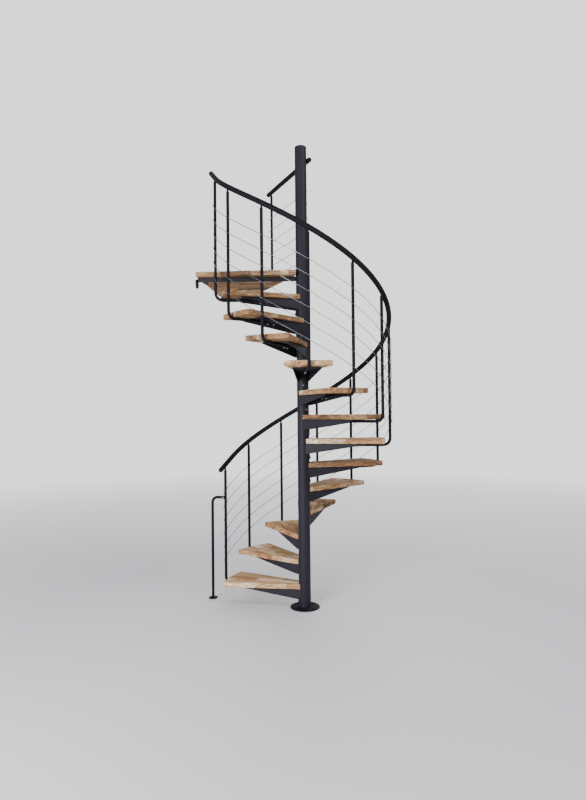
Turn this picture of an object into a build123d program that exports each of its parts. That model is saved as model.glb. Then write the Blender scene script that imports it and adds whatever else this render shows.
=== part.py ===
from build123d import *
import math
import os

# Spiral staircase for one storey: steel column, wooden treads, corner landing and wire railing.
# Millimetres. Origin on the floor at the column's axis, Z up, the lowest tread towards -X.

# Flight, which climbs clockwise seen from above; angles in degrees from +X
riser = 205
tread_count = 13
turn = 27.62
first_azimuth = 162.35

# Column with its base flange and cap
column_diameter = 101.6
column_wall = 3.6
column_over_guard = 106
base_diameter = 250
base_thickness = 10
base_chamfer = 2.5
base_bolt_circle = 190
base_bolt_count = 4
base_bolt_hole = 14
cap_thickness = 8
cap_plug_depth = 20
cap_rounding = 4

# Clearance between neighbouring pieces, and how much of a corner's run each arc of a helix takes
seat_gap = 0.3
arc_share = 0.999

# Treads, glued wooden wedges that reach round the column
tread_thickness = 40
tread_reach = 675
tread_outer_width = 374
tread_inner_reach = 26
tread_inner_width = 114
tread_crown = 16.5
tread_corner = 10
tread_edge = 3

# Brackets, folded steel trays under the treads, each with a saddle on the column
sheet = 4
bracket_reach = 524
bracket_outer_width = 227
bracket_inner_width = 90
bracket_depth = 86
bracket_lip = 12
saddle_thickness = 6
saddle_width = 46
saddle_drop = 52

# Balusters, bent tubes from under each bracket to the handrail
tube_diameter = 25
tube_bend = 56
tube_end_rounding = 3
baluster_gap = 32
baluster_hold = 234
neck_diameter = 15
neck_length = 16

# Handrail over the balusters, straight at both ends from these angles inside the outer balusters
rail_diameter = 42
rail_height = 981
rail_low_angle = 9.7
rail_low_straight = 225
rail_high_angle = 6.9
rail_high_straight = 300
rail_end_rounding = 14

# Wires on the outside of the balusters, heights over the treads
wire_diameter = 5
wire_heights = [145, 264, 383, 502, 621, 740]
wire_overrun = 22

# Floor post that stays the lowest baluster, between its two highest wires
post_reach = 129
post_arm_over_wire = 79
post_bend = 50
rosette_diameter = 78
rosette_thickness = 9
rosette_rounding = 3
clamp_diameter = 29
clamp_length = 24

# Landing board, which has its well edge on the right, and the welded frame below it
landing_thickness = 40
landing_near_inner = (-49, -88.5)
landing_near_outer = (-907, -52)
landing_left_azimuth = 84.8
landing_far_edge = 840
landing_edge = 3
well_azimuth = 116
well_edge_offset = 58.8
frame_bar = 35
beam_front = -2
beam_column_reach = 26
arm_margin = 34
arm_length = 80

# Wall fixing of the landing frame
wall_face = -915
wall_rosette_diameter = 80
wall_rosette_thickness = 18
wall_rosette_drop = 33
wall_screw_drop = 14
wall_screw_hole = 12

# Guard on the well side of the landing
guard_rail_height = 975
guard_rail_overrun = 38
guard_rail_length = 944
guard_post_place = 815
guard_leg_hold = 80
guard_foot_seat = 10
guard_foot_height = 16
guard_foot_length = 60
guard_foot_width = 60
guard_foot_corner = 6
guard_wire_heights = [118, 236, 353, 471, 588, 706]
guard_wire_overrun = 18

# Values that follow from the sizes above
column_radius = column_diameter / 2
tube_radius = tube_diameter / 2
rail_radius = rail_diameter / 2
wire_radius = wire_diameter / 2
floor_height = riser * (tread_count + 1)
column_height = floor_height + guard_rail_height + column_over_guard
frame_top = floor_height - landing_thickness
baluster_radius = tread_reach + tread_crown + baluster_gap + tube_radius
baluster_inner_reach = bracket_reach - baluster_hold
post_radius = baluster_radius + post_reach
post_arm_height = riser + wire_heights[-2] + post_arm_over_wire
rail_low_place = 1 + rail_low_angle / turn
rail_high_place = tread_count - rail_high_angle / turn
tube_level = -tread_thickness - sheet - tube_radius
step_length = math.radians(turn) * baluster_radius
rail_slope = math.atan2(riser, step_length)
tube_top = rail_height - rail_radius / math.cos(rail_slope) - neck_length
wire_circle = baluster_radius + tube_radius + seat_gap + wire_radius


def azimuth(place):
    """Direction of a place in the flight, counted in treads from 1, in degrees from +X."""
    return first_azimuth - (place - 1) * turn


def tread_plane(number):
    """Plane on top of a tread, X outwards along the tread and Y towards its nosing."""
    angle = math.radians(azimuth(number))
    outwards = (math.cos(angle), math.sin(angle), 0)
    return Plane(origin=(0, 0, number * riser), x_dir=outwards, z_dir=(0, 0, 1))


def section_plane(number):
    """Upright plane through the middle of a tread, X outwards and Y up from the tread's top."""
    angle = math.radians(azimuth(number))
    outwards = (math.cos(angle), math.sin(angle), 0)
    sideways = (math.sin(angle), -math.cos(angle), 0)
    return Plane(origin=(0, 0, number * riser), x_dir=outwards, z_dir=sideways)


def helix_path(radius, height, start, end, start_straight, end_straight):
    """Points and bend radius of a path of arcs that follows the flight's helix.

    start and end are places in the flight, and height is over the treads. The path touches
    the helix at start, at end and at even steps of about one tread between them. Halfway
    between two of these places is a corner, further out, whose arc reaches to both. Beyond
    start and end the path runs on straight.
    """
    steps = round(end - start)
    step = (end - start) / steps
    half = math.radians(turn * step / 2)

    def point(place, distance):
        angle = math.radians(azimuth(place))
        return Vector(distance * math.cos(angle), distance * math.sin(angle), place * riser + height)

    corners = [point(start + step * (index + 0.5), radius / math.cos(half)) for index in range(steps)]
    first = point(start, radius)
    last = point(end, radius)
    first_run = (first - corners[0]).normalized() * start_straight
    last_run = (last - corners[-1]).normalized() * end_straight
    half_corner = (corners[1] - corners[0]).get_angle(corners[2] - corners[1]) / 2
    bend = (first - corners[0]).length / math.tan(math.radians(half_corner))
    return [first + first_run] + corners + [last + last_run], arc_share * bend


def rod(diameter, points, bend):
    """Round rod along straight runs joined by arcs of one bend radius."""
    with BuildPart() as piece:
        with BuildLine() as path:
            FilletPolyline(*points, radius=bend)
        with BuildSketch(Plane(origin=path.line @ 0, z_dir=path.line % 0)):
            Circle(diameter / 2)
        sweep(path=path.line)
    return piece.part


def write(piece, name):
    """Label a finished piece and write its file."""
    piece.part.label = name
    export_step(piece.part, "parts/" + name + ".step")


def inwards(line, distance):
    """Line of the landing's outline moved towards the landing, which lies on its right."""
    (x, y), direction = line
    angle = math.radians(direction)
    return (x + distance * math.sin(angle), y - distance * math.cos(angle)), direction


def crossing(first, second):
    """Point where two lines, each a point and a direction in degrees, cross."""
    (x1, y1), direction1 = first
    (x2, y2), direction2 = second
    ux, uy = math.cos(math.radians(direction1)), math.sin(math.radians(direction1))
    vx, vy = math.cos(math.radians(direction2)), math.sin(math.radians(direction2))
    reach = ((x2 - x1) * vy - (y2 - y1) * vx) / (ux * vy - uy * vx)
    return (x1 + reach * ux, y1 + reach * uy)


os.makedirs("parts", exist_ok=True)

# Base flange, bolted to the floor
with BuildPart() as base_flange:
    with BuildSketch():
        Circle(base_diameter / 2)
    extrude(amount=base_thickness)
    chamfer(base_flange.faces().sort_by(Axis.Z)[-1].edges(), base_chamfer)
    with PolarLocations(base_bolt_circle / 2, base_bolt_count, start_angle=45):
        Hole(base_bolt_hole / 2)
write(base_flange, "base_flange")

# Column tube, welded on the base flange
with BuildPart() as column:
    with BuildSketch(Plane.XY.offset(base_thickness)):
        Circle(column_radius)
        Circle(column_radius - column_wall, mode=Mode.SUBTRACT)
    extrude(amount=column_height - cap_thickness - base_thickness)
write(column, "column")

# Cap on the column, with a plug inside the tube
with BuildPart() as column_cap:
    with BuildSketch(Plane.XY.offset(column_height - cap_thickness)):
        Circle(column_radius)
    extrude(amount=cap_thickness)
    fillet(column_cap.faces().sort_by(Axis.Z)[-1].edges(), cap_rounding)
    with BuildSketch(Plane.XY.offset(column_height - cap_thickness)):
        Circle(column_radius - column_wall - seat_gap)
    extrude(amount=-cap_plug_depth)
write(column_cap, "column_cap")

# Treads, one wedge board each, with a round notch for the column
for number in range(1, tread_count + 1):
    with BuildPart() as tread:
        with BuildSketch(tread_plane(number)):
            with BuildLine():
                inner_nosing = (tread_inner_reach, tread_inner_width / 2)
                inner_back = (tread_inner_reach, -tread_inner_width / 2)
                outer_nosing = (tread_reach, tread_outer_width / 2)
                outer_back = (tread_reach, -tread_outer_width / 2)
                Polyline(outer_nosing, inner_nosing, inner_back, outer_back)
                ThreePointArc(outer_back, (tread_reach + tread_crown, 0), outer_nosing)
            make_face()
            Circle(column_radius + seat_gap, mode=Mode.SUBTRACT)
        extrude(amount=-tread_thickness)
        upright = tread.edges().filter_by(Axis.Z)
        fillet(upright.sort_by_distance((0, 0, number * riser))[-2:], tread_corner)
        fillet(tread.faces().sort_by(Axis.Z)[-1].edges(), tread_edge)
    write(tread, f"tread_{number:02d}")

# One bracket at the origin: a tray open below, wide at its outer end and deep at the column
with BuildPart() as bracket:
    half_inner = bracket_inner_width / 2
    half_outer = bracket_outer_width / 2
    saddle_radius = column_radius + saddle_thickness
    with BuildSketch():
        with BuildLine():
            Polyline(
                (0, half_inner), (0, -half_inner),
                (bracket_reach, -half_outer), (bracket_reach, half_outer), close=True,
            )
        make_face()
    extrude(amount=-bracket_depth)
    with BuildSketch(Plane.XY.offset(-sheet)):
        with BuildLine():
            Polyline(
                (0, half_inner - sheet), (0, sheet - half_inner),
                (bracket_reach, sheet - half_outer), (bracket_reach, half_outer - sheet), close=True,
            )
        make_face()
    extrude(amount=-bracket_depth, mode=Mode.SUBTRACT)
    # The lower edges of the side flanges rise outwards
    with BuildSketch(Plane.XZ):
        with BuildLine():
            Polyline(
                (column_radius, -bracket_depth), (bracket_reach, -bracket_lip),
                (bracket_reach, -bracket_depth), close=True,
            )
        make_face()
    extrude(amount=bracket_outer_width, both=True, mode=Mode.SUBTRACT)
    # Saddle plate against the column, and its tab for the screw below
    with BuildSketch(Plane.XY.offset(-sheet)):
        Circle(saddle_radius)
        with Locations((saddle_radius / 2, 0)):
            Rectangle(saddle_radius, bracket_inner_width - 2 * sheet, mode=Mode.INTERSECT)
    extrude(amount=sheet - bracket_depth)
    with BuildSketch(Plane.XY.offset(-bracket_depth)):
        Circle(saddle_radius)
        with Locations((saddle_radius / 2, 0)):
            Rectangle(saddle_radius, saddle_width, mode=Mode.INTERSECT)
    extrude(amount=-saddle_drop)
    with BuildSketch():
        Circle(column_radius + seat_gap)
    extrude(amount=-bracket_depth - saddle_drop, mode=Mode.SUBTRACT)

# Brackets of the whole flight, face to face under the treads
with BuildPart() as tread_brackets:
    seats = [tread_plane(number).offset(-tread_thickness) for number in range(1, tread_count + 1)]
    with Locations(*[seat.location for seat in seats]):
        add(bracket.part)
write(tread_brackets, "tread_brackets")

# Handrail, one bent tube
rail_points, rail_bend = helix_path(
    baluster_radius, rail_height, rail_low_place, rail_high_place, rail_low_straight, rail_high_straight
)
rail_rod = rod(rail_diameter, rail_points, rail_bend)
rail_space = rod(rail_diameter + 2 * seat_gap, rail_points, rail_bend)
with BuildPart() as handrail:
    add(rail_rod)
    ends = handrail.faces().filter_by(GeomType.PLANE)
    fillet(ends.edges(), rail_end_rounding)
write(handrail, "handrail")

# Balusters: the tube comes out from under the bracket, bends up and carries the rail on a neck
for number in range(1, tread_count + 1):
    side = section_plane(number)
    with BuildPart() as baluster:
        with BuildLine(side) as path:
            FilletPolyline(
                (baluster_inner_reach, tube_level), (baluster_radius, tube_level),
                (baluster_radius, tube_top), radius=tube_bend,
            )
        with BuildSketch(Plane(origin=path.line @ 0, z_dir=path.line % 0)):
            Circle(tube_radius)
        sweep(path=path.line)
        fillet(baluster.faces().sort_by(Axis.Z)[-1].edges(), tube_end_rounding)
        seat = side.from_local_coords((baluster_radius, tube_top, 0))
        with BuildSketch(Plane(origin=seat, z_dir=(0, 0, 1))):
            Circle(neck_diameter / 2)
        extrude(amount=rail_height - tube_top)
        add(rail_space, mode=Mode.SUBTRACT)
    write(baluster, f"baluster_{number:02d}")

# Wires of the railing, each from the lowest to the highest baluster
wire_points, wire_bend = helix_path(wire_circle, 0, 1, tread_count, wire_overrun, wire_overrun)
wire_rod = rod(wire_diameter, wire_points, wire_bend)
with BuildPart() as railing_wires:
    with Locations(*[(0, 0, height) for height in wire_heights]):
        add(wire_rod)
write(railing_wires, "railing_wires")

# Floor post: the tube rises from a rosette on the floor and bends over towards the lowest baluster
post_side = Plane(origin=(0, 0, 0), x_dir=section_plane(1).x_dir, z_dir=section_plane(1).z_dir)
arm_start = baluster_radius + tube_radius + clamp_length
with BuildPart() as floor_post:
    with BuildLine(post_side) as path:
        FilletPolyline(
            (post_radius, rosette_thickness), (post_radius, post_arm_height),
            (arm_start, post_arm_height), radius=post_bend,
        )
    with BuildSketch(Plane(origin=path.line @ 0, z_dir=path.line % 0)):
        Circle(tube_radius)
    sweep(path=path.line)
write(floor_post, "floor_post")

# Rosette under the floor post
with BuildPart() as floor_post_rosette:
    with BuildSketch(Plane(origin=post_side.from_local_coords((post_radius, 0, 0)), z_dir=(0, 0, 1))):
        Circle(rosette_diameter / 2)
    extrude(amount=rosette_thickness)
    fillet(floor_post_rosette.faces().sort_by(Axis.Z)[-1].edges(), rosette_rounding)
write(floor_post_rosette, "floor_post_rosette")

# Clamp between the floor post's arm and the lowest baluster, hollowed to the baluster's round
with BuildPart() as floor_post_clamp:
    arm_end = post_side.from_local_coords((arm_start, post_arm_height, 0))
    with BuildSketch(Plane(origin=arm_end, z_dir=-post_side.x_dir)):
        Circle(clamp_diameter / 2)
    extrude(amount=clamp_length + tube_radius)
    baluster_foot = post_side.from_local_coords((baluster_radius, 0, 0))
    with BuildSketch(Plane(origin=baluster_foot, z_dir=(0, 0, 1))):
        Circle(tube_radius + seat_gap)
    extrude(amount=2 * post_arm_height, mode=Mode.SUBTRACT)
write(floor_post_clamp, "floor_post_clamp")

# Outline of the landing, clockwise seen from above, each edge a point and a direction
near_run = (landing_near_outer[0] - landing_near_inner[0], landing_near_outer[1] - landing_near_inner[1])
near_edge = (landing_near_inner, math.degrees(math.atan2(near_run[1], near_run[0])))
left_edge = (landing_near_outer, landing_left_azimuth)
far_edge = ((0, landing_far_edge), 0)
well_edge = inwards(((0, 0), well_azimuth - 180), well_edge_offset)
inner_edge = (landing_near_inner, -90)

# Landing board, one glued wooden board beside the column
with BuildPart() as landing_board:
    with BuildSketch(Plane.XY.offset(floor_height)):
        with BuildLine():
            Polyline(
                crossing(near_edge, left_edge), crossing(left_edge, far_edge), crossing(far_edge, well_edge),
                crossing(well_edge, inner_edge), crossing(inner_edge, near_edge), close=True,
            )
        make_face()
    extrude(amount=-landing_thickness)
    fillet(landing_board.faces().sort_by(Axis.Z)[-1].edges(), landing_edge)
write(landing_board, "landing_board")

# Beam of square bar under the landing board's near edge, from the column to the wall
beam_end = wall_face + wall_rosette_thickness
with BuildPart() as landing_beam:
    with BuildSketch(Plane.XY.offset(frame_top)):
        with Locations((beam_end, beam_front)):
            Rectangle(-beam_end - beam_column_reach, frame_bar, align=(Align.MIN, Align.MIN))
        Circle(column_radius + seat_gap, mode=Mode.SUBTRACT)
    extrude(amount=-frame_bar)
write(landing_beam, "landing_beam")

# Arm of the same bar, welded to the back of the beam along the landing board's left edge
beam_back = ((0, beam_front + frame_bar), 180)
arm_outside = inwards(left_edge, arm_margin)
arm_inside = inwards(arm_outside, frame_bar)
arm_back = ((0, beam_front + frame_bar + arm_length), 180)
with BuildPart() as landing_arm:
    with BuildSketch(Plane.XY.offset(frame_top)):
        with BuildLine():
            Polyline(
                crossing(beam_back, arm_outside), crossing(arm_outside, arm_back),
                crossing(arm_back, arm_inside), crossing(arm_inside, beam_back), close=True,
            )
        make_face()
    extrude(amount=-frame_bar)
write(landing_arm, "landing_arm")

# Wall rosette at the beam's end, whose fixing hole is free below the beam
rosette_middle = (wall_face, beam_front + frame_bar / 2, frame_top - frame_bar / 2 - wall_rosette_drop)
with BuildPart() as wall_flange:
    with BuildSketch(Plane(origin=rosette_middle, z_dir=(1, 0, 0))):
        Circle(wall_rosette_diameter / 2)
    extrude(amount=wall_rosette_thickness)
    fillet(wall_flange.faces().sort_by(Axis.X)[-1].edges(), rosette_rounding)
    with BuildSketch(Plane(origin=rosette_middle, x_dir=(0, 1, 0), z_dir=(1, 0, 0))):
        with Locations((0, -wall_screw_drop)):
            Circle(wall_screw_hole / 2)
    extrude(amount=wall_rosette_thickness, mode=Mode.SUBTRACT)
write(wall_flange, "wall_flange")

# Guard on the landing's well edge: plane at the column's axis, X along the guard, Y up
guard_angle = math.radians(well_azimuth)
guard_side = Plane(
    origin=(0, 0, floor_height),
    x_dir=(math.cos(guard_angle), math.sin(guard_angle), 0),
    z_dir=(math.sin(guard_angle), -math.cos(guard_angle), 0),
)
guard_line = column_radius + seat_gap + rail_radius

# Guard rail, a straight tube that passes the column
with BuildPart() as guard_rail:
    rail_start = guard_side.from_local_coords((-guard_rail_overrun, guard_rail_height, guard_line))
    with BuildSketch(Plane(origin=rail_start, z_dir=guard_side.x_dir)):
        Circle(rail_radius)
    extrude(amount=guard_rail_length)
    fillet(guard_rail.edges().filter_by(GeomType.CIRCLE), rail_end_rounding)
write(guard_rail, "guard_rail")

# Guard post: its leg lies on the landing, and it bends up outside the edge to the guard rail
post_foot = guard_side.from_local_coords((guard_post_place, 0, 0))
guard_section = Plane(origin=post_foot, x_dir=guard_side.z_dir, z_dir=-guard_side.x_dir)
leg_level = guard_foot_seat + tube_radius
leg_end = -well_edge_offset - guard_leg_hold
guard_top = guard_rail_height - rail_radius - neck_length
with BuildPart() as guard_post:
    with BuildLine(guard_section) as path:
        FilletPolyline(
            (leg_end, leg_level), (guard_line, leg_level), (guard_line, guard_top), radius=tube_bend,
        )
    with BuildSketch(Plane(origin=path.line @ 0, z_dir=path.line % 0)):
        Circle(tube_radius)
    sweep(path=path.line)
    fillet(guard_post.faces().sort_by(Axis.Z)[-1].edges(), tube_end_rounding)
    neck_seat = guard_section.from_local_coords((guard_line, guard_top, 0))
    with BuildSketch(Plane(origin=neck_seat, z_dir=(0, 0, 1))):
        Circle(neck_diameter / 2)
    extrude(amount=neck_length + rail_radius)
    with BuildSketch(Plane(origin=rail_start, z_dir=guard_side.x_dir)):
        Circle(rail_radius + seat_gap)
    extrude(amount=guard_rail_length, mode=Mode.SUBTRACT)
write(guard_post, "guard_post")

# Foot block on the landing, grooved for the guard post's leg
with BuildPart() as guard_foot:
    foot_middle = guard_section.from_local_coords((leg_end + guard_foot_length / 2, 0, 0))
    with BuildSketch(Plane(origin=foot_middle, x_dir=guard_section.x_dir, z_dir=(0, 0, 1))):
        RectangleRounded(guard_foot_length, guard_foot_width, guard_foot_corner)
    extrude(amount=guard_foot_height)
    groove_start = guard_section.from_local_coords((leg_end - guard_foot_length, leg_level, 0))
    with BuildSketch(Plane(origin=groove_start, z_dir=guard_section.x_dir)):
        Circle(tube_radius + seat_gap)
    extrude(amount=3 * guard_foot_length, mode=Mode.SUBTRACT)
write(guard_foot, "guard_foot")

# Guard wires, straight from the column to the landing side of the guard post
with BuildPart() as guard_wires:
    column_side = column_radius + seat_gap + wire_radius
    post_wire_side = guard_line - tube_radius - seat_gap - wire_radius
    for height in guard_wire_heights:
        at_column = guard_side.from_local_coords((0, height, column_side))
        at_post = guard_side.from_local_coords((guard_post_place, height, post_wire_side))
        run = (at_post - at_column).normalized()
        with BuildSketch(Plane(origin=at_column - run * guard_wire_overrun, z_dir=run)):
            Circle(wire_radius)
        extrude(amount=(at_post - at_column).length + 2 * guard_wire_overrun)
write(guard_wires, "guard_wires")
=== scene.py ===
import bpy
import numpy as np
from mathutils import Matrix, Vector


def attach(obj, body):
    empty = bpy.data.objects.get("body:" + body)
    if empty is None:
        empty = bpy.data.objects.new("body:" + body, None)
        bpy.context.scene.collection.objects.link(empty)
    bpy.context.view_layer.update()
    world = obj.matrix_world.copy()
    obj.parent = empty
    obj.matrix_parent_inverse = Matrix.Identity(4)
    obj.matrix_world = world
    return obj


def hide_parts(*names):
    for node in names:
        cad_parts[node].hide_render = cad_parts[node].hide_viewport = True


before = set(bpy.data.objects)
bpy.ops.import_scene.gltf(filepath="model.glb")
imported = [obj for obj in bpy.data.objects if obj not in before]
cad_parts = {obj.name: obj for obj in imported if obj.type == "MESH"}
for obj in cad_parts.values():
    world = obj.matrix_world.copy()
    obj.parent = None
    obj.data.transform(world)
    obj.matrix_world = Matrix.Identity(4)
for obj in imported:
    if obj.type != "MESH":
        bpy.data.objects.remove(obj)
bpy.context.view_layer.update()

# Camera: it stands five metres in front of the column at the height of an eye, turned and tilted
# by about one degree, as the stair's own corners give it.
eye = np.array([0.0, -5.0437, 1.6749])
yaw, pitch, roll = -0.01694, 0.01817, -0.01004
sensor_width, focal_length = 36.0, 26.468
ahead = np.array([np.sin(yaw) * np.cos(pitch), np.cos(yaw) * np.cos(pitch), np.sin(pitch)])
level = np.array([np.cos(yaw), -np.sin(yaw), 0.0])
lift = np.cross(level, ahead)
right = np.cos(roll) * level + np.sin(roll) * lift
upward = np.cos(roll) * lift - np.sin(roll) * level
lens = bpy.data.cameras.new("stair_camera")
lens.sensor_width = sensor_width
lens.lens = focal_length
camera = bpy.data.objects.new("stair_camera", lens)
camera.matrix_world = Matrix([*np.stack([right, upward, -ahead, eye], axis=-1).tolist(), [0, 0, 0, 1]])
bpy.context.scene.collection.objects.link(camera)
bpy.context.scene.camera = camera

# Sky: a plain pale one that lights the stair softly from all sides. It is brighter where the
# camera looks straight at it than as a light, so that the wood and the black tubes keep their tone.
sky_colour = (0.97, 0.98, 1.0)
sky_light, sky_white = 0.52, 1.7


def sky_strength(tree, socket):
    """Gives a strength its value: sky_light for rays that light a piece, and sky_white for rays
    that come straight from the camera."""
    ray = tree.nodes.new("ShaderNodeLightPath")
    seen = tree.nodes.new("ShaderNodeMapRange")
    seen.inputs["To Min"].default_value = sky_light
    seen.inputs["To Max"].default_value = sky_white
    tree.links.new(ray.outputs["Is Camera Ray"], seen.inputs["Value"])
    tree.links.new(seen.outputs["Result"], socket)


sky = bpy.data.worlds.new("studio_sky")
sky.use_nodes = True
background = sky.node_tree.nodes["Background"]
background.inputs["Color"].default_value = (*sky_colour, 1.0)
sky_strength(sky.node_tree, background.inputs["Strength"])
bpy.context.scene.world = sky

# Light panels: three large soft boxes aimed at the middle of the stair. A row holds a panel's
# name, its place, its edge in metres and its power in watts.
stair_middle = Vector((0.0, 0.0, 1.6))
for panel, place, edge, power in (
    ("panel_left", (-3.2, -5.2, 2.2), 2.4, 350.0),
    ("panel_right", (2.9, -2.9, 5.4), 2.0, 110.0),
    ("panel_back", (1.5, 5.5, 5.2), 3.6, 180.0),
):
    light = bpy.data.lights.new(panel, "AREA")
    light.size = edge
    light.energy = power
    lamp = bpy.data.objects.new(panel, light)
    lamp.location = place
    aim = stair_middle - Vector(place)
    lamp.rotation_mode = "QUATERNION"
    lamp.rotation_quaternion = aim.to_track_quat("-Z", "Y")
    bpy.context.scene.collection.objects.link(lamp)

# Floor: a plain pale screed that the stair stands on and throws its soft shadow on. With growing
# distance from the column it fades into the sky, so that no edge shows.
floor_half = 40.0
fade_start, fade_end = 2.2, 11.0
screed_colour, screed_roughness = (0.83, 0.845, 0.87), 0.62
floor_corners = [(x * floor_half, y * floor_half, 0.0) for x, y in ((-1, -1), (1, -1), (1, 1), (-1, 1))]
floor_mesh = bpy.data.meshes.new("studio_floor")
floor_mesh.from_pydata(floor_corners, [], [(0, 1, 2, 3)])
floor = bpy.data.objects.new("studio_floor", floor_mesh)
bpy.context.scene.collection.objects.link(floor)
screed = bpy.data.materials.new("pale_screed")
screed.use_nodes = True
tree = screed.node_tree
shader = tree.nodes["Principled BSDF"]
shader.inputs["Base Color"].default_value = (*screed_colour, 1.0)
shader.inputs["Roughness"].default_value = screed_roughness
glow = tree.nodes.new("ShaderNodeEmission")
glow.inputs["Color"].default_value = (*sky_colour, 1.0)
sky_strength(tree, glow.inputs["Strength"])
where = tree.nodes.new("ShaderNodeTexCoord")
distance = tree.nodes.new("ShaderNodeVectorMath")
distance.operation = "LENGTH"
tree.links.new(where.outputs["Object"], distance.inputs[0])
fade = tree.nodes.new("ShaderNodeMapRange")
fade.inputs["From Min"].default_value = fade_start
fade.inputs["From Max"].default_value = fade_end
tree.links.new(distance.outputs["Value"], fade.inputs["Value"])
blend = tree.nodes.new("ShaderNodeMixShader")
tree.links.new(fade.outputs["Result"], blend.inputs["Fac"])
tree.links.new(shader.outputs["BSDF"], blend.inputs[1])
tree.links.new(glow.outputs["Emission"], blend.inputs[2])
tree.links.new(blend.outputs["Shader"], tree.nodes["Material Output"].inputs["Surface"])
floor_mesh.materials.append(screed)

# Column: a drawn steel tube of 101.6 mm, powder coated in anthracite. It is welded on a round
# base flange that four bolts hold on the floor, and a pressed steel cap closes its top.
column_radius = 0.0508
column_top = 3.951
cap_height, cap_gap = 0.0085, 0.0006
cap_round_width, cap_round_height = 0.004, 0.0036
flange_radius, flange_thickness = 0.125, 0.010
flange_bevel, flange_round = 0.001, 0.0025
bolt_circle = 0.095
foot_middle = np.array([0.0, 0.0, 0.0])
up = np.array([0.0, 0.0, 1.0])


def coated(name, colour, roughness, shine=0.25, cloud=0.12):
    """Powder coat: the colour drifts by the cloud share over a hand's width, the gloss drifts
    with it, and a fine orange peel of about a millimetre lifts the surface."""
    cloud_scale, peel_scale = 6.0, 700.0
    gloss_drift = 0.06
    peel_strength, peel_depth = 0.12, 0.0004
    material = bpy.data.materials.new(name)
    material.use_nodes = True
    tree = material.node_tree
    shader = tree.nodes["Principled BSDF"]
    shader.inputs["Specular IOR Level"].default_value = shine
    where = tree.nodes.new("ShaderNodeTexCoord")
    drift = tree.nodes.new("ShaderNodeTexNoise")
    drift.inputs["Scale"].default_value = cloud_scale
    drift.inputs["Detail"].default_value = 4.0
    tree.links.new(where.outputs["Object"], drift.inputs["Vector"])
    tones = tree.nodes.new("ShaderNodeValToRGB")
    dark, light = tones.color_ramp.elements
    dark.position, light.position = 0.3, 0.7
    dark.color = (*[c * (1 - cloud) for c in colour], 1.0)
    light.color = (*[c * (1 + cloud) for c in colour], 1.0)
    tree.links.new(drift.outputs["Fac"], tones.inputs["Fac"])
    tree.links.new(tones.outputs["Color"], shader.inputs["Base Color"])
    gloss = tree.nodes.new("ShaderNodeMapRange")
    gloss.inputs["To Min"].default_value = roughness - gloss_drift
    gloss.inputs["To Max"].default_value = roughness + gloss_drift
    tree.links.new(drift.outputs["Fac"], gloss.inputs["Value"])
    tree.links.new(gloss.outputs["Result"], shader.inputs["Roughness"])
    peel = tree.nodes.new("ShaderNodeTexNoise")
    peel.inputs["Scale"].default_value = peel_scale
    peel.inputs["Detail"].default_value = 1.0
    tree.links.new(where.outputs["Object"], peel.inputs["Vector"])
    relief = tree.nodes.new("ShaderNodeBump")
    relief.inputs["Strength"].default_value = peel_strength
    relief.inputs["Distance"].default_value = peel_depth
    tree.links.new(peel.outputs["Fac"], relief.inputs["Height"])
    tree.links.new(relief.outputs["Normal"], shader.inputs["Normal"])
    return material


def turned(profile, foot, axis, sides=48):
    """Rings of a turned piece. Each row of profile is a distance from the axis and a place along
    it from foot, and a ring is that distance times (cosine, sine) of even angles round the axis."""
    axis = np.array(axis, float) / np.linalg.norm(axis)
    spare = np.eye(3)[np.argmin(np.abs(axis))]
    across = np.cross(axis, spare) / np.linalg.norm(np.cross(axis, spare))
    other = np.cross(axis, across)
    angles = np.linspace(0, 2 * np.pi, sides, endpoint=False)
    spokes = np.outer(np.cos(angles), across) + np.outer(np.sin(angles), other)
    profile = np.array(profile, float)
    return np.array(foot) + profile[:, 1, None, None] * axis + profile[:, 0, None, None] * spokes


def round_edge(radius, foot, width, height, start, steps):
    """Profile rows of a rounded upper edge: the distance falls from radius by width times one
    minus the cosine, and the place grows from foot by height times the sine."""
    turn = np.linspace(start, np.pi / 2, steps)
    return np.stack([radius - width * (1 - np.cos(turn)), foot + height * np.sin(turn)], axis=-1).tolist()


def skin(rings, ends="middle"):
    """Closed skin over a stack of rings: four-sided faces join point i and i + 1 of one ring to
    the same points of the next. An end is a fan round the ring's middle, or, for a folded sheet,
    a strip across from its outer to its inner side. A skin of negative volume is turned over."""
    rows, count = rings.shape[:2]
    here = np.arange(rows * count).reshape(rows, count)
    onward = np.roll(here, -1, axis=1)
    faces = np.stack([here[:-1], onward[:-1], onward[1:], here[1:]], axis=-1).reshape(-1, 4)
    points = rings.reshape(-1, 3)
    if ends == "middle":
        points = np.vstack([points, rings[0].mean(axis=0), rings[-1].mean(axis=0)])
        low = np.full(count, rows * count)
        caps = np.vstack([
            np.stack([onward[0], here[0], low], axis=-1),
            np.stack([here[-1], onward[-1], low + 1], axis=-1),
        ])
    else:
        side = np.arange(count // 2 - 1)
        caps = np.vstack([
            np.stack([ring[side], ring[side + 1], ring[-2 - side], ring[-1 - side]], axis=-1)[:, ::turn]
            for ring, turn in ((here[0], -1), (here[-1], 1))
        ])
    corners = np.vstack([faces[:, [0, 1, 2]], faces[:, [0, 2, 3]], caps[:, :3]])
    if caps.shape[1] == 4:
        corners = np.vstack([corners, caps[:, [0, 2, 3]]])
    a, b, c = (points[corners[:, k]] for k in range(3))
    if np.einsum("ij,ij->", a, np.cross(b, c)) < 0:
        faces, caps = faces[:, ::-1], caps[:, ::-1]
    return points, faces.tolist() + caps.tolist()


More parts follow.
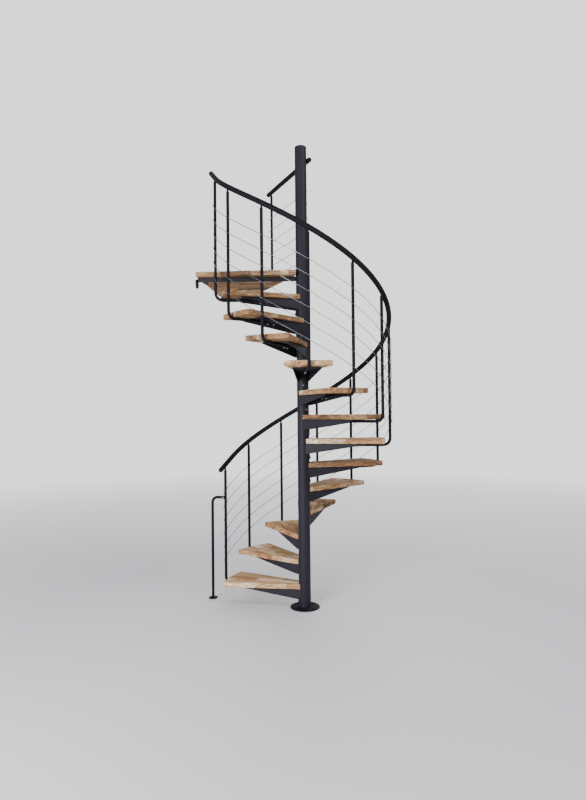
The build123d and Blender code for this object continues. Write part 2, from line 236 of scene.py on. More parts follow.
def piece(name, skins, finish, nodes=(), boards=None, paleness=0.0):
    """One object from several skins, whose numbers run on from skin to skin. It rides on the
    stair, takes its finish from a slot and stands for the named solids. boards gives each point
    its place in the board that it was cut from, and paleness says how pale that board is painted,
    partly for its own tone and partly as painted light."""
    sharp_fold = np.radians(32.0)
    offsets = np.cumsum([0] + [len(points) for points, faces in skins])
    points = np.vstack([points for points, faces in skins])
    faces = [[corner + offset for corner in face]
             for (_, part), offset in zip(skins, offsets) for face in part]
    mesh = bpy.data.meshes.new(name)
    mesh.from_pydata(points.tolist(), [], faces)
    mesh.materials.append(finish)
    mesh.shade_smooth()
    mesh.set_sharp_from_angle(angle=sharp_fold)
    if boards is not None:
        place = mesh.attributes.new("board", "FLOAT_VECTOR", "POINT")
        place.data.foreach_set("vector", np.asarray(boards, np.float32).ravel())
        tint = mesh.attributes.new("paleness", "FLOAT", "POINT")
        tint.data.foreach_set("value", np.full(len(points), paleness, np.float32))
    thing = bpy.data.objects.new(name, mesh)
    bpy.context.scene.collection.objects.link(thing)
    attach(thing, "root")
    if nodes:
        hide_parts(*nodes)


anthracite = coated("anthracite_coat", (0.015, 0.014, 0.023), 0.55)
tube_ends = (flange_thickness + 0.0005, column_top - cap_height)
column_profile = [(column_radius, height) for height in (tube_ends[0], 1.3, 2.6, tube_ends[1])]
piece("column_tube", [skin(turned(column_profile, foot_middle, up, 96))], anthracite,
      ["column"])
shoulder = column_top - 0.0042
cap_profile = [(column_radius - cap_gap, column_top - cap_height)]
cap_profile += [(column_radius, column_top - cap_height + cap_gap), (column_radius, shoulder)]
cap_profile += round_edge(column_radius, shoulder, cap_round_width, cap_round_height, 0.2, 6)
cap_profile += [(0.030, column_top - 0.0003), (0.012, column_top)]
piece("column_top_cap", [skin(turned(cap_profile, foot_middle, up, 96))], anthracite,
      ["column_cap"])
flange_shoulder = flange_thickness - flange_round
flange_profile = [(flange_radius - flange_bevel, 0.0), (flange_radius, flange_bevel)]
flange_profile += [(flange_radius, flange_shoulder)]
flange_profile += round_edge(flange_radius, flange_shoulder, flange_round, flange_round, 0.25, 5)
flange_profile += [(0.060, flange_thickness)]
weld_bead = ((-0.001, 0.016), (0.0015, 0.0152), (0.0042, 0.0125), (0.0052, 0.0098), (-0.001, 0.0095))
weld_profile = [(column_radius + reach, height) for reach, height in weld_bead]
washer = [(0.0125, 0.0), (0.013, 0.0004), (0.013, 0.0012), (0.0126, 0.0016), (0.006, 0.0016)]
bolt_head = [(0.0095, 0.0016), (0.0098, 0.0022), (0.0092, 0.0042), (0.0072, 0.0056), (0.0045, 0.0060)]
bolt_head += [(0.0038, 0.0048), (0.0030, 0.0046)]
skins = [skin(turned(flange_profile, foot_middle, up, 96)), skin(turned(weld_profile, foot_middle, up, 96))]
for angle in np.radians([45, 135, 225, 315]):
    seat = (bolt_circle * np.cos(angle), bolt_circle * np.sin(angle), flange_thickness)
    skins += [skin(turned(washer, seat, up, 32)), skin(turned(bolt_head, seat, up, 32))]
# The flange, its weld and its bolts take the column's anthracite painted darker and with less sheen:
# painted shade on the low flange.
flange_coat_with_painted_shade = coated("flange_coat_with_painted_shade", (0.0105, 0.0105, 0.0165), 0.60, 0.08)
piece("floor_flange", skins, flange_coat_with_painted_shade, ["base_flange"])

# Treads: thirteen wedges of oiled hardwood, 40 mm thick, glued up from finger-jointed staves.
# Each reaches round the column with a notch and has eased edges, rounded outer corners and a
# slightly crowned outer edge. The flight climbs clockwise, and each tread turns by the same angle.
riser = 0.205
turn_angle = 27.62
first_azimuth = 162.35
tread_numbers = range(1, 14)
tread_thickness, tread_ease = 0.040, 0.003
tread_reach, tread_half, tread_crown = 0.675, 0.187, 0.0165
tip_reach, tip_half = 0.026, 0.057
notch_radius, notch_angle = 0.0511, 59.4
outer_round, crown_round, tip_round, notch_round = 0.010, 0.5, 0.002, 0.020
stave_width, block_length = 0.078, 0.27
board_step = np.array([1.37, 0.731, 0.0])


def stave_wood(name, stave, block, tones):
    """Wood glued from blocks. A row is the whole part of the place across over the stave's width,
    and a block the whole part of the place along over the row's own length, which zigzags at the
    finger joints. Chances of the row and the block, wide blotches and the board's paleness pick
    the tone, and chance also shifts the block's grain. The paleness is partly the board's own tone
    and partly painted light, and it also brightens the tone. The tone is then shaded by fibres, by
    growth lines as the cubed sine of a slow noise, by streaks, by knots in about half of the
    blocks, and by the thin glue lines."""
    shortest, spread = 0.8 * block, 1.4 * block
    row_jump, grain_jump = 7.0, 23.0
    finger_pitch, finger_slope = 0.0035, 2.2
    block_share, row_share, paleness_share = 0.72, 0.22, -0.15
    blotch_share, tone_start = 1.6, -0.745
    fibre_waves, streak_waves = (7.0, 210.0, 210.0), (3.4, 88.0, 88.0)
    blotch_waves, band_waves = (2.6, 34.0, 34.0), (1.7, 21.0, 21.0)
    fibre_shade, fibre_start = 0.90, 0.55
    streak_shade, streak_start = 1.8, 0.10
    growth_lines, line_shade, line_start = 60.0, 0.42, 1.10
    pale_shade = 0.25
    knot_waves, knot_core, knot_edge = (9.0, 24.0, 24.0), 0.07, 0.22
    knot_shade, knot_free = 0.34, 0.5
    seam_half, joint_half, glue_shade = 0.0004, 0.0005, 0.30
    gloss_drift, gloss_start, oil_shine = 0.16, 0.54, 0.02
    pore_strength, pore_depth = 0.35, 0.0006
    material = bpy.data.materials.new(name)
    material.use_nodes = True
    tree = material.node_tree
    shader = tree.nodes["Principled BSDF"]

    def link(value, socket):
        """Sets a socket to a plain value, or joins it to the socket that the value comes from."""
        if isinstance(value, (int, float, tuple)):
            socket.default_value = value
        else:
            tree.links.new(value, socket)

    def worked(kind, operation, values):
        """One step of arithmetic, as the result of a new node of this kind."""
        node = tree.nodes.new(kind)
        node.operation = operation
        for value, socket in zip(values, node.inputs):
            link(value, socket)
        return node.outputs[0]

    def maths(operation, *values):
        """One step of arithmetic on numbers."""
        return worked("ShaderNodeMath", operation, values)

    def vectors(operation, *values):
        """One step of arithmetic on places."""
        return worked("ShaderNodeVectorMath", operation, values)

    def scaled(value, factor):
        """A place or a colour times a number."""
        node = tree.nodes.new("ShaderNodeVectorMath")
        node.operation = "SCALE"
        link(value, node.inputs[0])
        link(factor, node.inputs["Scale"])
        return node.outputs["Vector"]

    def attribute(label):
        """Reads an attribute that piece() gave to the mesh."""
        node = tree.nodes.new("ShaderNodeAttribute")
        node.attribute_name = label
        return node

    place = attribute("board").outputs["Vector"]
    pale = attribute("paleness").outputs["Fac"]
    parts = tree.nodes.new("ShaderNodeSeparateXYZ")
    tree.links.new(place, parts.inputs["Vector"])
    along, across = parts.outputs["X"], parts.outputs["Y"]
    rows = maths("DIVIDE", across, stave)
    row = maths("FLOOR", rows)
    row_dice = tree.nodes.new("ShaderNodeTexWhiteNoise")
    row_dice.noise_dimensions = "1D"
    tree.links.new(row, row_dice.inputs["W"])
    row_chance = row_dice.outputs["Value"]
    length = maths("MULTIPLY_ADD", row_chance, spread, shortest)
    fingers = maths("MULTIPLY", maths("PINGPONG", across, finger_pitch), finger_slope)
    blocks = maths("DIVIDE", maths("ADD", along, fingers), length)
    blocks = maths("MULTIPLY_ADD", row_chance, row_jump, blocks)
    both = tree.nodes.new("ShaderNodeCombineXYZ")
    tree.links.new(row, both.inputs["X"])
    tree.links.new(maths("FLOOR", blocks), both.inputs["Y"])
    block_dice = tree.nodes.new("ShaderNodeTexWhiteNoise")
    block_dice.noise_dimensions = "2D"
    tree.links.new(both.outputs["Vector"], block_dice.inputs["Vector"])
    chances = tree.nodes.new("ShaderNodeSeparateColor")
    tree.links.new(block_dice.outputs["Color"], chances.inputs["Color"])
    shift = scaled(block_dice.outputs["Color"], grain_jump)

    def grain(waves):
        """The place on the board times the waves in a metre along it, across it and through it,
        moved by the block's own shift."""
        return vectors("ADD", vectors("MULTIPLY", place, waves), shift)

    def noise(waves, detail, roughness=0.5):
        """Soft noise drawn out along the grain, between nought and one."""
        node = tree.nodes.new("ShaderNodeTexNoise")
        node.inputs["Scale"].default_value = 1.0
        node.inputs["Detail"].default_value = detail
        node.inputs["Roughness"].default_value = roughness
        tree.links.new(grain(waves), node.inputs["Vector"])
        return node.outputs["Fac"]

    fibres = noise(fibre_waves, 5.0, 0.62)
    bands = noise(band_waves, 2.0)
    blotches = noise(blotch_waves, 3.0)
    streaks = noise(streak_waves, 2.0)

    tone = tree.nodes.new("ShaderNodeValToRGB")
    first, last = tone.color_ramp.elements
    first.position, first.color = tones[0][0], (*tones[0][1], 1.0)
    last.position, last.color = tones[-1][0], (*tones[-1][1], 1.0)
    for position, colour in tones[1:-1]:
        tone.color_ramp.elements.new(position).color = (*colour, 1.0)
    drift = maths("MULTIPLY_ADD", blotches, blotch_share, tone_start)
    # Paleness moves the tone towards sand: partly the board's own tone, partly painted light.
    drift = maths("MULTIPLY_ADD", pale, paleness_share, drift)
    drift = maths("MULTIPLY_ADD", row_chance, row_share, drift)
    tree.links.new(maths("MULTIPLY_ADD", chances.outputs["Red"], block_share, drift), tone.inputs["Fac"])

    knots = tree.nodes.new("ShaderNodeTexVoronoi")
    knots.inputs["Scale"].default_value = 1.0
    tree.links.new(grain(knot_waves), knots.inputs["Vector"])
    knot = tree.nodes.new("ShaderNodeMapRange")
    knot.interpolation_type = "SMOOTHSTEP"
    knot.inputs["From Min"].default_value = knot_core
    knot.inputs["From Max"].default_value = knot_edge
    knot.inputs["To Min"].default_value = knot_shade
    tree.links.new(knots.outputs["Distance"], knot.inputs["Value"])
    plain = maths("LESS_THAN", chances.outputs["Blue"], knot_free)
    knotted = maths("MAXIMUM", knot.outputs["Result"], plain)

    def near_edge(counted, width):
        """One within this width of a whole number, and nought elsewhere."""
        from_middle = maths("ABSOLUTE", maths("SUBTRACT", maths("FRACT", counted), 0.5))
        return maths("GREATER_THAN", from_middle, 0.5 - width)

    seam = near_edge(rows, seam_half / stave)
    joint = near_edge(blocks, joint_half / block)
    glue = maths("MULTIPLY_ADD", maths("MAXIMUM", seam, joint), -glue_shade, 1.0)

    shade = maths("MULTIPLY_ADD", fibres, fibre_shade, fibre_start)
    growth = maths("SINE", maths("MULTIPLY", bands, growth_lines))
    growth = maths("POWER", maths("MAXIMUM", growth, 0.0), 3.0)
    shade = maths("MULTIPLY", shade, maths("MULTIPLY_ADD", growth, -line_shade, line_start))
    shade = maths("MULTIPLY", shade, maths("MULTIPLY_ADD", streaks, streak_shade, streak_start))
    # Paleness also brightens the wood: partly the board's own tone, partly painted light on the lowest
    # treads.
    shade = maths("MULTIPLY", shade, maths("MULTIPLY_ADD", pale, pale_shade, 1.0))
    shade = maths("MULTIPLY", shade, maths("MULTIPLY", glue, knotted))
    tree.links.new(scaled(tone.outputs["Color"], shade), shader.inputs["Base Color"])
    tree.links.new(maths("MULTIPLY_ADD", fibres, gloss_drift, gloss_start), shader.inputs["Roughness"])
    shader.inputs["Specular IOR Level"].default_value = oil_shine
    relief = tree.nodes.new("ShaderNodeBump")
    relief.inputs["Strength"].default_value = pore_strength
    relief.inputs["Distance"].default_value = pore_depth
    tree.links.new(maths("MULTIPLY", fibres, glue), relief.inputs["Height"])
    tree.links.new(relief.outputs["Normal"], shader.inputs["Normal"])
    return material


def rounded(corners, radii, steps=4):
    """Outline through corners, each rounded to its radius: the arc starts and ends one tangent
    length from the corner, its middle lies on the corner's bisector, and its spoke turns evenly."""
    corners, radii = np.array(corners, float), np.array(radii, float)[:, None]
    back = np.roll(corners, 1, axis=0) - corners
    onward = np.roll(corners, -1, axis=0) - corners
    back /= np.linalg.norm(back, axis=1, keepdims=True)
    onward /= np.linalg.norm(onward, axis=1, keepdims=True)
    inside = np.arccos(np.clip((back * onward).sum(axis=1, keepdims=True), -1, 1))
    bisector = (back + onward) / np.linalg.norm(back + onward, axis=1, keepdims=True)
    middle = corners + bisector * radii / np.sin(inside / 2)
    first = corners + back * radii / np.tan(inside / 2) - middle
    last = corners + onward * radii / np.tan(inside / 2) - middle
    sweep = (np.pi - inside)[:, None]
    share = np.linspace(0, 1, steps + 1)[None, :, None]
    spokes = np.sin((1 - share) * sweep) * first[:, None] + np.sin(share * sweep) * last[:, None]
    return (middle[:, None] + spokes / np.sin(sweep)).reshape(-1, 2)


def board(outline, top, thickness, ease):
    """Rings of a board: its outline drawn in along its normals, by a quarter round of the eased
    edge at the top and at the underside, and shrunk towards its middle on both faces."""
    along = np.roll(outline, -1, axis=0) - np.roll(outline, 1, axis=0)
    outwards = np.stack([along[:, 1], -along[:, 0]], axis=-1) / np.linalg.norm(along, axis=1, keepdims=True)
    turn = np.linspace(0, np.pi / 2, 5)
    inset = np.concatenate([[ease + 0.001], ease * (1 - np.sin(turn))])
    depth = np.concatenate([[0.0], ease * (1 - np.cos(turn))])
    inset = np.concatenate([inset, inset[::-1]])
    height = np.concatenate([top - depth, (top - thickness + depth)[::-1]])
    flat = outline[None] - inset[:, None, None] * outwards[None]
    rings = np.dstack([flat, np.broadcast_to(height[:, None, None], flat.shape[:2] + (1,))])
    middle = np.append(outline.mean(axis=0), 0.0)
    shares = np.array([[0.3, 0.3, 1.0], [0.7, 0.7, 1.0]])[:, None]
    upper = middle + shares * (rings[0] - middle)
    lower = middle + shares[::-1] * (rings[-1] - middle)
    return np.concatenate([upper, rings, lower])


def azimuth(place):
    """Azimuth of a place on the flight, counted in treads from 1 on."""
    return np.radians(first_azimuth - (place - 1) * turn_angle)


def tread_axes(number):
    """Three rows: outwards along a tread, back down the flight, and up. A tread's points, drawn
    along +X, times these rows are turned to its azimuth."""
    outwards = np.array([np.cos(azimuth(number)), np.sin(azimuth(number)), 0.0])
    return np.stack([outwards, np.cross(up, outwards), up])


notch = np.radians(np.linspace(notch_angle, -notch_angle, 11))
crown = np.linspace(-tread_half, tread_half, 13)[1:-1]
crown_radius = (tread_half ** 2 + tread_crown ** 2) / (2 * tread_crown)
crown_middle = tread_reach + tread_crown - crown_radius
tread_corners = [(tip_reach, tip_half)]
tread_corners += [(notch_radius * np.cos(a), notch_radius * np.sin(a)) for a in notch]
tread_corners += [(tip_reach, -tip_half), (tread_reach, -tread_half)]
tread_corners += [(crown_middle + np.sqrt(crown_radius ** 2 - y ** 2), y) for y in crown]
tread_corners += [(tread_reach, tread_half)]
tread_radii = [tip_round] * 2 + [notch_round] * (len(notch) - 2) + [tip_round] * 2
tread_radii += [outer_round] + [crown_round] * len(crown) + [outer_round]
tread_outline = rounded(tread_corners, tread_radii)
oiled_wood = stave_wood("oiled_stave_wood", stave_width, block_length, (
    (0.0, (0.68, 0.52, 0.36)), (0.20, (0.48, 0.305, 0.176)), (0.36, (0.40, 0.272, 0.142)),
    (0.52, (0.38, 0.215, 0.110)), (0.66, (0.36, 0.170, 0.088)), (0.82, (0.24, 0.138, 0.076)),
    (1.0, (0.13, 0.091, 0.057)),
))
# How pale each tread's board is painted, from the lowest tread up: 1 is sandy and -1 is brown. This is
# partly the boards' own tone and partly painted light: the lowest treads are painted palest, for the light
# that the floor throws up on them.
tread_tone_and_painted_light = (1.5, 1.2, 1.1, 0.3, 0.2, -1.1, 0.8, -1.0, 0.3, 0.9, -0.4, -0.4, -0.8)
points, faces = skin(board(tread_outline, 0.0, tread_thickness, tread_ease))
for number, paleness in zip(tread_numbers, tread_tone_and_painted_light):
    placed = points @ tread_axes(number) + number * riser * up
    piece(f"wooden_tread_{number:02d}", [(placed, faces)], oiled_wood,
          [f"tread_{number:02d}"], boards=points + board_step * number, paleness=paleness)

# Brackets: each is a tray folded from 4 mm steel, deep at the column and shallow outside, welded
# on a curved saddle. One bright screw through the saddle's tab holds it on the column, and two
# bolts with zinc nuts hold the baluster's tube in it.
sheet, outer_fold = 0.004, 0.006
tray_end = 0.524
axis_half, end_half = 0.045, 0.1135
column_depth, end_depth = 0.086, 0.012
saddle_inner, saddle_outer = 0.0511, 0.0568
saddle_half, saddle_top = 0.041, -0.003
tab_half, tab_round = 0.023, 0.010
tab_top, tab_straight, tab_foot, tab_screw = -0.085, -0.100, -0.128, -0.121
nut_reaches, nut_level = (0.300, 0.360), -0.0292
# The brackets' coat is the column's anthracite painted lighter: painted light, for the light that the floor
# throws up on their undersides. The landing's beam, arm and wall rosette share this lightened coat.
bracket_coat_with_painted_light = coated("bracket_coat_with_painted_light", (0.0215, 0.020, 0.029), 0.55, 0.2)


def bright(name, colour, roughness):
    """Bright metal: its gloss drifts with a fine noise, as on plated or drawn steel."""
    gloss_scale, gloss_drift = 240.0, 0.08
    material = bpy.data.materials.new(name)
    material.use_nodes = True
    tree = material.node_tree
    shader = tree.nodes["Principled BSDF"]
    shader.inputs["Metallic"].default_value = 1.0
    shader.inputs["Base Color"].default_value = (*colour, 1.0)
    where = tree.nodes.new("ShaderNodeTexCoord")
    drift = tree.nodes.new("ShaderNodeTexNoise")
    drift.inputs["Scale"].default_value = gloss_scale
    tree.links.new(where.outputs["Object"], drift.inputs["Vector"])
    gloss = tree.nodes.new("ShaderNodeMapRange")
    gloss.inputs["To Min"].default_value = roughness - gloss_drift
    gloss.inputs["To Max"].default_value = roughness + gloss_drift
    tree.links.new(drift.outputs["Fac"], gloss.inputs["Value"])
    tree.links.new(gloss.outputs["Result"], shader.inputs["Roughness"])
    return material


def tray(places):
    """Rings of the folded tray at these places along it. The half width grows evenly and the
    depth falls evenly from the column on. A section runs up one flange, round its fold, across,
    round the other fold and down, and back on the inside, one sheet thickness further in."""
    half = axis_half + (end_half - axis_half) * places / tray_end
    depth = np.interp(places, [column_radius, tray_end], [column_depth, end_depth])
    turn = np.linspace(0, np.pi / 2, 5)
    sides = []
    for inset, fold in ((0.0, outer_fold), (sheet, outer_fold - sheet)):
        bend = np.stack([fold * (1 - np.cos(turn)), fold * (np.sin(turn) - 1)], axis=-1)
        width = (half - inset)[:, None]
        level = np.broadcast_to(bend[:, 1] - inset, (len(places), len(turn)))
        foot = np.stack([-width[:, 0], -depth], axis=-1)[:, None]
        left = np.concatenate([foot, np.stack([-width + bend[:, 0], level], axis=-1)], axis=1)
        sides.append(np.concatenate([left, left[:, ::-1] * np.array([-1, 1])], axis=1))
    section = np.concatenate([sides[0], sides[1][:, ::-1]], axis=1)
    along = np.broadcast_to(places[:, None, None], section.shape[:2] + (1,))
    return np.concatenate([along, section], axis=2)


def saddle(half_widths, heights):
    """Rings of a plate bent round the column: at each height the arcs of its outer and inner
    radius, out to the angle whose sine is the half width over the outer radius."""
    reach = np.arcsin(np.array(half_widths) / saddle_outer)[:, None]
    angle = reach * np.linspace(-1, 1, 17)
    outer = np.stack([saddle_outer * np.cos(angle), saddle_outer * np.sin(angle)], axis=-1)
    ring = np.concatenate([outer, outer[:, ::-1] * saddle_inner / saddle_outer], axis=1)
    height = np.broadcast_to(np.array(heights)[:, None, None], ring.shape[:2] + (1,))
    return np.concatenate([ring, height], axis=2)


tray_places = np.array([0.020, column_radius, 0.10, 0.18, 0.28, 0.38, 0.46, tray_end - 0.0005, tray_end])
round_foot = np.linspace(0, np.pi / 2, 6)
tab_widths = [tab_half] * 2 + (tab_half - tab_round + tab_round * np.cos(round_foot)).tolist()
tab_heights = [tab_top, tab_straight] + (tab_foot - tab_round * np.sin(round_foot)).tolist()
plates = [tray(tray_places), saddle([saddle_half] * 2, [saddle_top, -column_depth]),
          saddle(tab_widths, tab_heights)]
screw_head = [(0.0088, -0.001), (0.0092, 0.0), (0.0092, 0.0014), (0.0086, 0.0020), (0.0066, 0.0020)]
screw_head += [(0.0068, 0.0034), (0.0068, 0.0068), (0.0058, 0.0082), (0.0030, 0.0085)]
small_washer = [(0.0078, 0.0), (0.0082, 0.0003), (0.0082, 0.0013), (0.0078, 0.0016)]
small_nut = [(0.0068, 0.0016), (0.0074, 0.0024), (0.0074, 0.0068), (0.0067, 0.0080)]
small_stud = [(0.0038, 0.006), (0.0038, 0.0112), (0.0030, 0.0122)]
trays, screws, nuts = [], [], []
for number in tread_numbers:
    axes = tread_axes(number)
    seat = (number * riser - tread_thickness) * up
    trays += [skin(plate @ axes + seat, "across") for plate in plates]
    screw_seat = seat + axes[0] * (saddle_outer - 0.0002) + tab_screw * up
    screws += [skin(turned(screw_head, screw_seat, axes[0], 20))]
    for reach in nut_reaches:
        under = seat + axes[0] * reach + nut_level * up
        nuts += [skin(turned(profile, under, -up, sides))
                 for profile, sides in ((small_washer, 24), (small_nut, 6), (small_stud, 16))]
piece("bracket_trays", trays, bracket_coat_with_painted_light, ["tread_brackets"])
zinc = bright("zinc_plate", (0.28, 0.29, 0.31), 0.36)
# The nuts and the wire holders take a rougher and darker copy of the zinc plate: the darker colour is
# painted shade, for the nuts in the trays' shadow and the holders on the tubes.
dull_zinc_with_painted_shade = bright("dull_zinc_with_painted_shade", (0.21, 0.21, 0.22), 0.44)
piece("bracket_screws", screws, zinc)
piece("bracket_nuts", nuts, dull_zinc_with_painted_shade)

# Handrail: a steel tube of 42 mm, powder coated in satin black, rolled to the flight's helix and
# left straight at both ends, which are closed by rounded caps. The balusters carry it.
baluster_circle = 0.736
rail_radius, rail_rounding = 0.021, 0.014
rail_height = 0.981
rail_start, rail_end = 1.3512, 12.7502
rail_start_run, rail_end_run = 0.225, 0.300
rail_black = coated("railing_black", (0.012, 0.0115, 0.015), 0.55, 0.06)


def tube(centres, radii, upright, sides=28):
    """Rings of a tube: at each point of the path a circle of its radius, square to the path. Its
    first spoke is the path's direction crossed with the upright, the second the two crossed."""
    ahead = np.gradient(centres, axis=0)
    ahead /= np.linalg.norm(ahead, axis=1, keepdims=True)
    across = np.cross(ahead, upright)
    across /= np.linalg.norm(across, axis=1, keepdims=True)
    above = np.cross(across, ahead)
    angles = np.linspace(0, 2 * np.pi, sides, endpoint=False)[None, :, None]
    spokes = np.cos(angles) * across[:, None] + np.sin(angles) * above[:, None]
    return centres[:, None] + np.asarray(radii)[:, None, None] * spokes


def flight_path(radius, height, start, end, start_run, end_run, step=0.04):
    """Points on the flight's helix, whose azimuth falls and whose height grows evenly with the
    place counted in treads, run on straight along its direction beyond both ends."""
    places = np.linspace(start, end, int(np.ceil((end - start) / step)) + 1)
    angles = azimuth(places)
    helix = np.stack([radius * np.cos(angles), radius * np.sin(angles), places * riser + height], axis=-1)
    stride = radius * np.radians(turn_angle)
    ends = angles[[0, -1]]
    forward = np.stack([stride * np.sin(ends), -stride * np.cos(ends), [riser, riser]], axis=-1)
    forward /= np.linalg.norm(forward, axis=1, keepdims=True)
    before = helix[0] - forward[0] * np.linspace(start_run, 0, 7)[:-1, None]
    after = helix[-1] + forward[1] * np.linspace(0, end_run, 7)[1:, None]
    return np.concatenate([before, helix, after])


def capped(path, radius, rounding, steps=6):
    """Path and radii of a tube whose ends are rounded: the last steps draw in along a quarter
    round, where the radius falls by one minus the sine while the path goes on by the cosine."""
    turn = np.linspace(np.pi / 2, 0, steps + 1)
    ease = rounding * np.cos(turn)
    drop = rounding * (1 - np.sin(turn))
    first, last = path[1] - path[0], path[-1] - path[-2]
    first, last = first / np.linalg.norm(first), last / np.linalg.norm(last)
    head = path[0] + first * (rounding - ease[::-1, None])
    tail = path[-1] - last * (rounding - ease[:, None])
    inner = path[(np.linalg.norm(path - path[0], axis=1) > 1.2 * rounding)
                 & (np.linalg.norm(path - path[-1], axis=1) > 1.2 * rounding)]
    radii = np.concatenate([radius - drop[::-1], np.full(len(inner), radius), radius - drop])
    return np.concatenate([head, inner, tail]), radii


def rail(path):
    """Skin of a rail's tube along its path, with both ends rounded."""
    return skin(tube(*capped(path, rail_radius, rail_rounding), up, 36))


rail_path = flight_path(baluster_circle, rail_height, rail_start, rail_end, rail_start_run, rail_end_run)
piece("tube_handrail", [rail(rail_path)], rail_black, ["handrail"])

# Balusters: thirteen bent steel tubes of 25 mm in the same black coat. Each comes out from under
# its bracket, bends up outside the tread and carries the handrail on a slim neck.
tube_radius, tube_rounding = 0.0125, 0.003
tube_level, tube_bend = -0.0565, 0.056
tube_start, bend_start = 0.290, 0.50
neck_length = 0.016


def quarter_bend(outer, level, radius, start, steps):
    """Line of a tube's quarter bend: the arc of a circle from the angle start on. Its middle lies
    one radius inside the outer place, at this level."""
    turn = np.linspace(start, start + np.pi / 2, steps)
    return np.stack([outer - radius + radius * np.cos(turn), level + radius * np.sin(turn)], axis=-1)


def bent_tube(path, across):
    """Skin of a baluster's tube along its path, with both ends slightly rounded."""
    return skin(tube(*capped(path, tube_radius, tube_rounding, 4), across))


rail_slope = np.arctan2(riser, np.radians(turn_angle) * baluster_circle)
tube_top = rail_height - rail_radius / np.cos(rail_slope) - neck_length
bend = quarter_bend(baluster_circle, tube_level + tube_bend, tube_bend, -np.pi / 2, 13)
baluster_line = np.concatenate([[(tube_start, tube_level), (bend_start, tube_level)], bend,
                                [(baluster_circle, height) for height in (0.4, 0.7, tube_top)]])
neck = [(0.0108, -0.0005), (0.0108, 0.0012), (0.0082, 0.0028), (0.0075, 0.0045), (0.0075, 0.0235)]
for number in tread_numbers:
    outwards, back, _ = tread_axes(number)
    path = baluster_line[:, :1] * outwards + (baluster_line[:, 1:] + number * riser) * up
    top = outwards * baluster_circle + (number * riser + tube_top) * up
    piece(f"bent_baluster_{number:02d}", [bent_tube(path, -back), skin(turned(neck, top, up, 24))],
          rail_black, [f"baluster_{number:02d}"])

# Railing wires: six bright steel rods of 5 mm, bent to the helix on the outside of the balusters.
# A small screwed holder clamps each of them on every baluster, and their ends are rounded.
wire_circle = 0.7513
wire_radius, wire_rounding = 0.0025, 0.0015
wire_heights = (0.145, 0.264, 0.383, 0.502, 0.621, 0.740)
wire_run = 0.022
stainless = bright("stainless_wire", (0.22, 0.22, 0.23), 0.34)


def wire(path):
    """Skin of one wire along its path, with both ends rounded."""
    return skin(tube(*capped(path, wire_radius, wire_rounding, 3), up, 10))


holder = [(0.0036, -0.0006), (0.0040, 0.0), (0.0042, 0.0012), (0.0042, 0.0050), (0.0034, 0.0063)]
holder += [(0.0016, 0.0068)]
rods, holders = [], []
for height in wire_heights:
    rods += [wire(flight_path(wire_circle, height, 1.0, 13.0, wire_run, wire_run, 0.05))]
    for number in tread_numbers:
        outwards = tread_axes(number)[0]
        foot = outwards * (baluster_circle + tube_radius) + (number * riser + height) * up
        holders += [skin(turned(holder, foot, outwards, 14))]
piece("helix_wires", rods, stainless, ["railing_wires"])
piece("wire_holders", holders, dull_zinc_with_painted_shade)

# Floor post: a bent tube of the balusters' size that stands on a round rosette beside the lowest
# tread and stays the lowest baluster through a short clamp with a bright screw.
post_circle, post_foot, post_arm, post_bend = 0.865, 0.009, 0.905, 0.050
clamp_reach = 0.7725
outwards, back, _ = tread_axes(1)
arm_bend = quarter_bend(post_circle, post_arm - post_bend, post_bend, 0.0, 12)
post_line = np.concatenate([[(post_circle, height) for height in (post_foot, 0.3, 0.6)], arm_bend,
                            [(0.800, post_arm), (clamp_reach, post_arm)]])
path = post_line[:, :1] * outwards + post_line[:, 1:] * up
piece("bent_floor_post", [skin(tube(path, np.full(len(path), tube_radius), -back))], rail_black,
      ["floor_post"])
rosette = [(0.0385, 0.0), (0.039, 0.0006), (0.039, 0.006), (0.0381, 0.0081), (0.036, 0.009)]
rosette += [(0.0158, 0.0094), (0.0145, 0.0115), (0.0128, 0.0135), (0.0122, 0.0135)]
piece("post_rosette", [skin(turned(rosette, outwards * post_circle, up, 48))], rail_black,
      ["floor_post_rosette"])
clamp = [(0.0135, 0.0), (0.0145, 0.001), (0.0145, 0.0105), (0.0138, 0.0112), (0.0138, 0.0124)]
clamp += [(0.0145, 0.0131), (0.0145, 0.0235), (0.0140, 0.0245), (0.0140, 0.030)]
clamp_start = outwards * clamp_reach + post_arm * up
piece("post_clamp", [skin(turned(clamp, clamp_start, -outwards, 36))], rail_black,
      ["floor_post_clamp"])
clamp_screw = skin(turned(screw_head, clamp_start - outwards * 0.018 + back * 0.0138, back, 20))
piece("post_clamp_screw", [clamp_screw], zinc)

# Landing: one board of the treads' wood beside the column, its staves along the near edge. A
# square steel beam with a short welded arm carries it from the column to a round rosette.
landing_top = 2.870
landing_corners = [(-0.9070, -0.0520), (-0.0490, -0.0885), (-0.0490, -0.0337)]
landing_corners += [(-0.4751, 0.840), (-0.8258, 0.840)]
landing_radii = [0.004, 0.003, 0.003, 0.004, 0.004]
landing_place, landing_paleness = np.array([31.3, 5.0, -landing_top]), -0.3
bar_top, bar_size, bar_ease = landing_top - tread_thickness, 0.035, 0.0025
beam_corners = [(-0.897, -0.002), (-0.026, -0.002), (-0.026, 0.033), (-0.897, 0.033)]
arm_corners = [(-0.8651, 0.033), (-0.8300, 0.033), (-0.8227, 0.113), (-0.8578, 0.113)]


def bar(corners):
    """Skin of a square bar laid flat under the board: its plan as a board with eased edges."""
    return skin(board(rounded(corners, [bar_ease] * len(corners)), bar_top, bar_size, bar_ease))


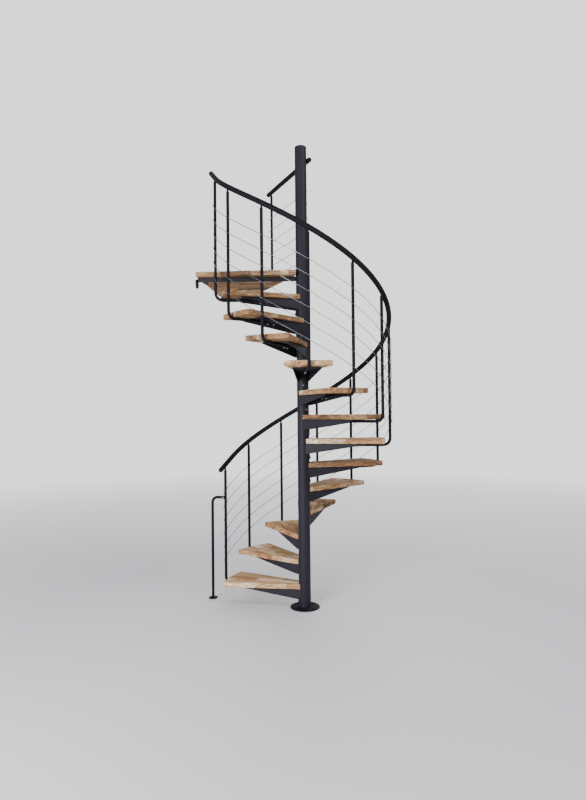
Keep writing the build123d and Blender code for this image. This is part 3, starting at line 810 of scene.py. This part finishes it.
landing_outline = rounded(landing_corners, landing_radii)
points, faces = skin(board(landing_outline, landing_top, tread_thickness, tread_ease))
piece("landing_board_wood", [(points, faces)], oiled_wood, ["landing_board"],
      boards=points + landing_place, paleness=landing_paleness)
piece("landing_beam_bar", [bar(beam_corners)], bracket_coat_with_painted_light, ["landing_beam"])
piece("landing_arm_bar", [bar(arm_corners)], bracket_coat_with_painted_light, ["landing_arm"])
end_rosette = [(0.0395, 0.0), (0.040, 0.0005), (0.040, 0.015), (0.0391, 0.0171), (0.037, 0.018)]
end_seat = np.array([-0.915, 0.0155, 2.7795])
end_screw = end_seat + np.array([0.0178, 0.0, -0.014])
piece("wall_rosette", [skin(turned(end_rosette, end_seat, (1, 0, 0), 48))], bracket_coat_with_painted_light,
      ["wall_flange"])
piece("wall_rosette_screw", [skin(turned(screw_head, end_screw, (1, 0, 0), 20))], zinc)

# Guard on the landing's well side: a straight black tube of 42 mm from beside the column over one
# bent post, whose leg lies in a foot block on the board, and six straight bright wires.
guard_azimuth = np.radians(116.0)
guard_run = np.array([np.cos(guard_azimuth), np.sin(guard_azimuth), 0.0])
well_side = np.array([np.sin(guard_azimuth), -np.cos(guard_azimuth), 0.0])
guard_line, guard_height = 0.0721, 0.975
guard_start, guard_end = -0.038, 0.906
post_place = 0.815
leg_level, leg_start, leg_bend_start = landing_top + 0.0225, -0.1388, -0.06
block_reach, block_half, block_height = -0.1088, 0.03, 0.016
guard_heights = (0.118, 0.236, 0.353, 0.471, 0.588, 0.706)
column_stop, post_stop, stop_run = 0.0536, 0.0568, 0.018
path = np.linspace(guard_start, guard_end, 9)[:, None] * guard_run
path = path + guard_line * well_side + (landing_top + guard_height) * up
piece("straight_guard_rail", [rail(path)], rail_black, ["guard_rail"])
guard_top = landing_top + guard_height - rail_radius - neck_length
leg_bend = quarter_bend(guard_line, leg_level + tube_bend, tube_bend, -np.pi / 2, 13)
post_line = np.concatenate([[(leg_start, leg_level), (leg_bend_start, leg_level)], leg_bend,
                            [(guard_line, height) for height in (3.2, 3.5, guard_top)]])
post_base = post_place * guard_run
path = post_base + post_line[:, :1] * well_side + post_line[:, 1:] * up
neck_foot = post_base + guard_line * well_side + guard_top * up
piece("bent_guard_post", [bent_tube(path, guard_run), skin(turned(neck, neck_foot, up, 24))],
      rail_black, ["guard_post"])
block_middle = post_base + block_reach * well_side
block_corners = [(block_middle + block_half * (x * well_side + y * guard_run))[:2]
                 for x, y in ((-1, -1), (1, -1), (1, 1), (-1, 1))]
block_outline = rounded(block_corners, [0.006] * 4, 5)
foot_block = skin(board(block_outline, landing_top + block_height, block_height, 0.0015))
piece("guard_foot_block", [foot_block], rail_black, ["guard_foot"])
rods, holders = [], []
for height in guard_heights:
    start = column_stop * well_side + (landing_top + height) * up
    end = post_base + post_stop * well_side + (landing_top + height) * up
    length = np.linalg.norm(end - start)
    path = start + np.linspace(-stop_run, length + stop_run, 7)[:, None] * (end - start) / length
    rods += [wire(path)]
    holders += [skin(turned(holder, start - 0.0028 * well_side, well_side, 14)),
                skin(turned(holder, end + 0.0028 * well_side, -well_side, 14))]
piece("straight_guard_wires", rods, stainless, ["guard_wires"])
piece("guard_wire_holders", holders, dull_zinc_with_painted_shade)
